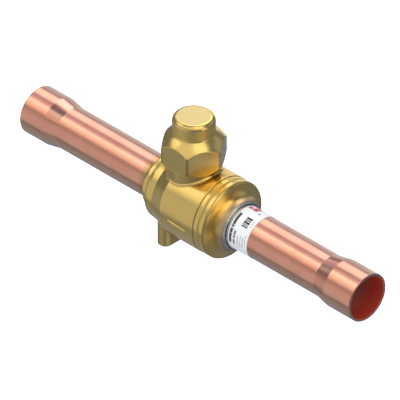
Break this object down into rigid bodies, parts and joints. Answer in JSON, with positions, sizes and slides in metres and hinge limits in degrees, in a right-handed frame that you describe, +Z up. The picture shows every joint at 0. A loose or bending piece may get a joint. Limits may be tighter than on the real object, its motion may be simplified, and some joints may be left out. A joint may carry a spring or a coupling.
{
  "type": "refrigeration shut-off ball valve",
  "caption": "Straight brass ball valve for refrigeration lines with copper stub tubes widened to sockets at both ends, a hexagon seal cap over the stem and a small mounting foot.",
  "frame": {"origin": "centre of the ball, where the flow axis and the stem axis meet", "axes": "+X along the flow axis towards the end piece with the seam, +Z up along the stem towards the seal cap, +Y across"},
  "size_m": [0.161, 0.0294, 0.0527],
  "materials": {
    "forged_brass": "satin",
    "turned_brass": "satin, turned",
    "cap_brass": "satin, turned",
    "copper": "satin copper",
    "braze_pale": "matt",
    "braze_dark": "dark grey",
    "chromed_ball": "polished",
    "stem_steel": "turned",
    "pin_steel": "ground",
    "seat_plastic": "matt white",
    "gasket_plastic": "matt",
    "black_rubber": "matt black",
    "label_paper": "white film"
  },
  "bodies": {
    "valve_body": {"valve_body": "forged_brass", "end_retainer": "turned_brass", "tube_left": "copper", "tube_right": "copper", "braze_ring_left": "braze_pale", "braze_ring_right": "braze_dark", "seat_left": "seat_plastic", "seat_right": "seat_plastic", "seat_oring_left": "black_rubber", "seat_oring_right": "black_rubber", "closure_oring": "black_rubber", "thrust_washer": "seat_plastic", "tube_label": "label_paper"},
    "spindle": {"spindle": "stem_steel", "spindle_oring_lower": "black_rubber", "spindle_oring_upper": "black_rubber", "stop_pin": "pin_steel"},
    "ball": {"ball": "chromed_ball"},
    "cap_gasket": {"cap_gasket": "gasket_plastic"},
    "seal_cap": {"seal_cap": "cap_brass"}
  },
  "joints": [
    {"name": "spindle_turn", "type": "hinge", "parent": "valve_body", "child": "spindle", "pos_m": [0, 0, 0], "axis": [0, 0, 1], "range_deg": [-90, 0]},
    {"name": "ball_turn", "type": "hinge", "parent": "valve_body", "child": "ball", "pos_m": [0, 0, 0], "axis": [0, 0, 1], "range_deg": [-90, 0]},
    {"name": "cap_lift", "type": "slide", "parent": "valve_body", "child": "cap_gasket", "axis": [0, 0, 1], "range_m": [0, 0.006]},
    {"name": "cap_turn", "type": "hinge", "parent": "cap_gasket", "child": "seal_cap", "pos_m": [0, 0, 0], "axis": [0, 0, 1], "range_deg": [0, 2160]}
  ],
  "couplings": [
    {"joint": "ball_turn", "follows": "spindle_turn", "ratio": 1},
    {"joint": "cap_lift", "follows": "cap_turn", "m_per_rad": 0.00015915}
  ]
}
